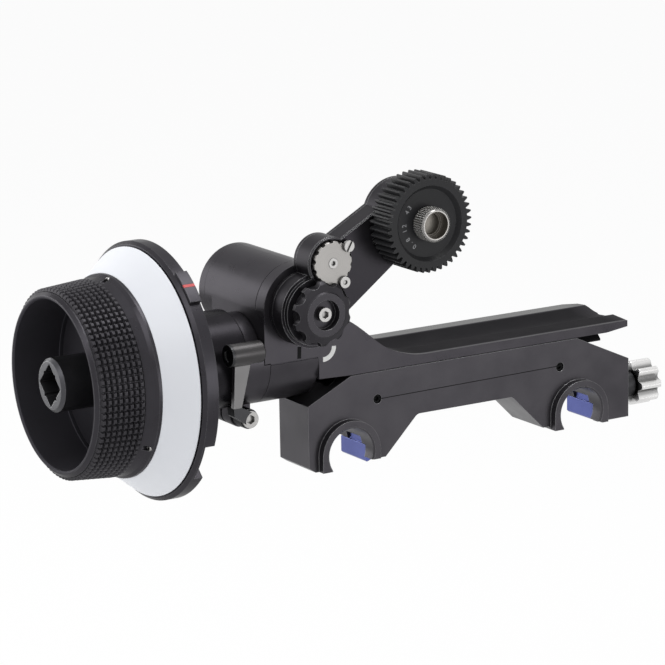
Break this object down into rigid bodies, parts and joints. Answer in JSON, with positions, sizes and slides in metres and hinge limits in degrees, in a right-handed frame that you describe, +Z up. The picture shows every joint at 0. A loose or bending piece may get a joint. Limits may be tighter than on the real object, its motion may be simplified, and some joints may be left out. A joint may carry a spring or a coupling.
{
  "type": "follow focus unit",
  "caption": "Camera follow focus on a two-rod bridge: hand wheel with marking disc drives a swinging geared arm; a knob clamps the bridge to its rods.",
  "frame": {"origin": "midway between the two rod axes, on the front plane of the saddle bosses", "axes": "+X along the bridge from the hand wheel to the clamp knob, +Y along the rods away from the gear side, +Z up"},
  "size_m": [0.2578, 0.094, 0.1139],
  "materials": {
    "black_anodised": "satin black anodised",
    "black_bright": "satin black anodised, turned",
    "wheel_black": "matt black anodised, knurled",
    "marking_white": "matt white, takes marker pen",
    "blue_jaw": "blue anodised",
    "silver_knob": "bright machined",
    "steel": "machined stainless",
    "dark_steel": "blackened",
    "gear_black": "moulded, fine grain",
    "gear_steel": "cut teeth, oiled",
    "red_mark": "red fill"
  },
  "bodies": {
    "bridge": {"bridge_body": "black_anodised", "tie_bore_plug": "dark_steel", "clamp_bushing": "dark_steel", "bridge_set_screws": "dark_steel"},
    "jaws": {"left_jaw": "blue_jaw", "right_jaw": "blue_jaw", "tie_bar": "steel", "tie_bar_pins": "steel"},
    "clamp_drive": {"clamp_screw": "steel", "clamp_knob": "silver_knob"},
    "carriage": {"carriage": "black_anodised", "gearbox_rear_cap": "black_anodised", "arm_spindle": "steel", "spindle_nut": "steel", "lock_screw": "steel", "lay_shaft_cover": "black_anodised", "lay_bearings": "gear_steel", "output_bearings": "gear_steel", "wheel_housing": "black_bright", "housing_bearings": "gear_steel", "split_collar": "black_anodised", "pinch_bolt": "steel", "pinch_nut": "steel", "pinch_nut_cap": "dark_steel"},
    "lever": {"clamp_lever": "silver_knob", "lever_end_cap": "dark_steel", "lever_hub": "dark_steel"},
    "wheel": {"input_shaft": "steel", "input_bevel": "gear_steel", "hand_wheel": "wheel_black", "drive_hub": "dark_steel", "wheel_screw": "dark_steel", "marking_disc": "marking_white", "marking_screws": "steel"},
    "lay_train": {"lay_shaft": "steel", "lay_bevel": "gear_steel", "lay_gear": "gear_steel"},
    "output_train": {"output_shaft": "steel", "output_gear": "gear_steel", "sun_gear": "gear_steel"},
    "swing_arm": {"arm_body": "black_anodised", "arm_cover": "black_anodised", "cover_screws": "dark_steel", "arm_face_screw": "dark_steel", "idler_one_pin": "steel", "backlash_disc": "silver_knob", "backlash_screw": "steel", "disc_clamp_screws": "steel", "idler_two_pin": "steel", "gear_bearings": "gear_steel"},
    "lock_knob_body": {"lock_knob": "black_bright"},
    "idler_one_body": {"idler_one": "gear_steel"},
    "idler_two_body": {"idler_two": "gear_steel"},
    "drive_body": {"gear_shaft": "steel", "drive_pinion": "gear_steel", "drive_gear": "gear_black", "gear_collar": "silver_knob"},
    "index_body": {"index_ring": "black_bright", "pointer_block": "black_anodised", "pointer_mark": "red_mark"}
  },
  "joints": [
    {"name": "jaw_slide", "type": "slide", "parent": "bridge", "child": "jaws", "axis": [1, 0, 0], "range_m": [-0.0006, 0.0012]},
    {"name": "clamp_knob_spin", "type": "hinge", "parent": "bridge", "child": "clamp_drive", "pos_m": [0, 0.01325, 0.0042], "axis": [1, 0, 0], "range_deg": [-112, 224]},
    {"name": "carriage_slide", "type": "slide", "parent": "bridge", "child": "carriage", "axis": [1, 0, 0], "range_m": [-0.045, 0]},
    {"name": "lever_turn", "type": "hinge", "parent": "carriage", "child": "lever", "pos_m": [-0.0907, 0, 0.0175], "axis": [0, 1, 0], "range_deg": [-20, 5]},
    {"name": "wheel_spin", "type": "hinge", "parent": "carriage", "child": "wheel", "pos_m": [0, 0.021, 0.0381], "axis": [1, 0, 0], "continuous": true},
    {"name": "layshaft_spin", "type": "hinge", "parent": "carriage", "child": "lay_train", "pos_m": [-0.0705, 0, 0.0381], "axis": [0, 1, 0], "continuous": true},
    {"name": "output_spin", "type": "hinge", "parent": "carriage", "child": "output_train", "pos_m": [-0.0705, 0, 0.0573], "axis": [0, 1, 0], "continuous": true},
    {"name": "arm_swing", "type": "hinge", "parent": "carriage", "child": "swing_arm", "pos_m": [-0.0705, 0, 0.0573], "axis": [0, 1, 0], "range_deg": [-85, 55]},
    {"name": "lock_knob_turn", "type": "hinge", "parent": "carriage", "child": "lock_knob_body", "pos_m": [-0.0705, 0, 0.0573], "axis": [0, 1, 0], "range_deg": [-90, 90]},
    {"name": "idler_one_spin", "type": "hinge", "parent": "swing_arm", "child": "idler_one_body", "pos_m": [-0.06448, 0, 0.07469], "axis": [0, 1, 0], "continuous": true},
    {"name": "idler_two_spin", "type": "hinge", "parent": "swing_arm", "child": "idler_two_body", "pos_m": [-0.0482, 0, 0.07669], "axis": [0, 1, 0], "continuous": true},
    {"name": "drive_gear_spin", "type": "hinge", "parent": "swing_arm", "child": "drive_body", "pos_m": [-0.0306, 0, 0.087], "axis": [0, 1, 0], "continuous": true},
    {"name": "index_ring_turn", "type": "hinge", "parent": "carriage", "child": "index_body", "pos_m": [0, 0.021, 0.0381], "axis": [1, 0, 0], "range_deg": [-40, 40]}
  ],
  "couplings": [
    {"joint": "clamp_knob_spin", "follows": "jaw_slide", "rad_per_m": 3141.6},
    {"joint": "layshaft_spin", "follows": "wheel_spin", "ratio": -1},
    {"joint": "output_spin", "follows": "wheel_spin", "ratio": 1},
    {"joint": "idler_one_spin", "follows": "wheel_spin", "ratio": -1.5556},
    {"joint": "idler_two_spin", "follows": "wheel_spin", "ratio": 1.2174},
    {"joint": "drive_gear_spin", "follows": "wheel_spin", "ratio": -1}
  ]
}
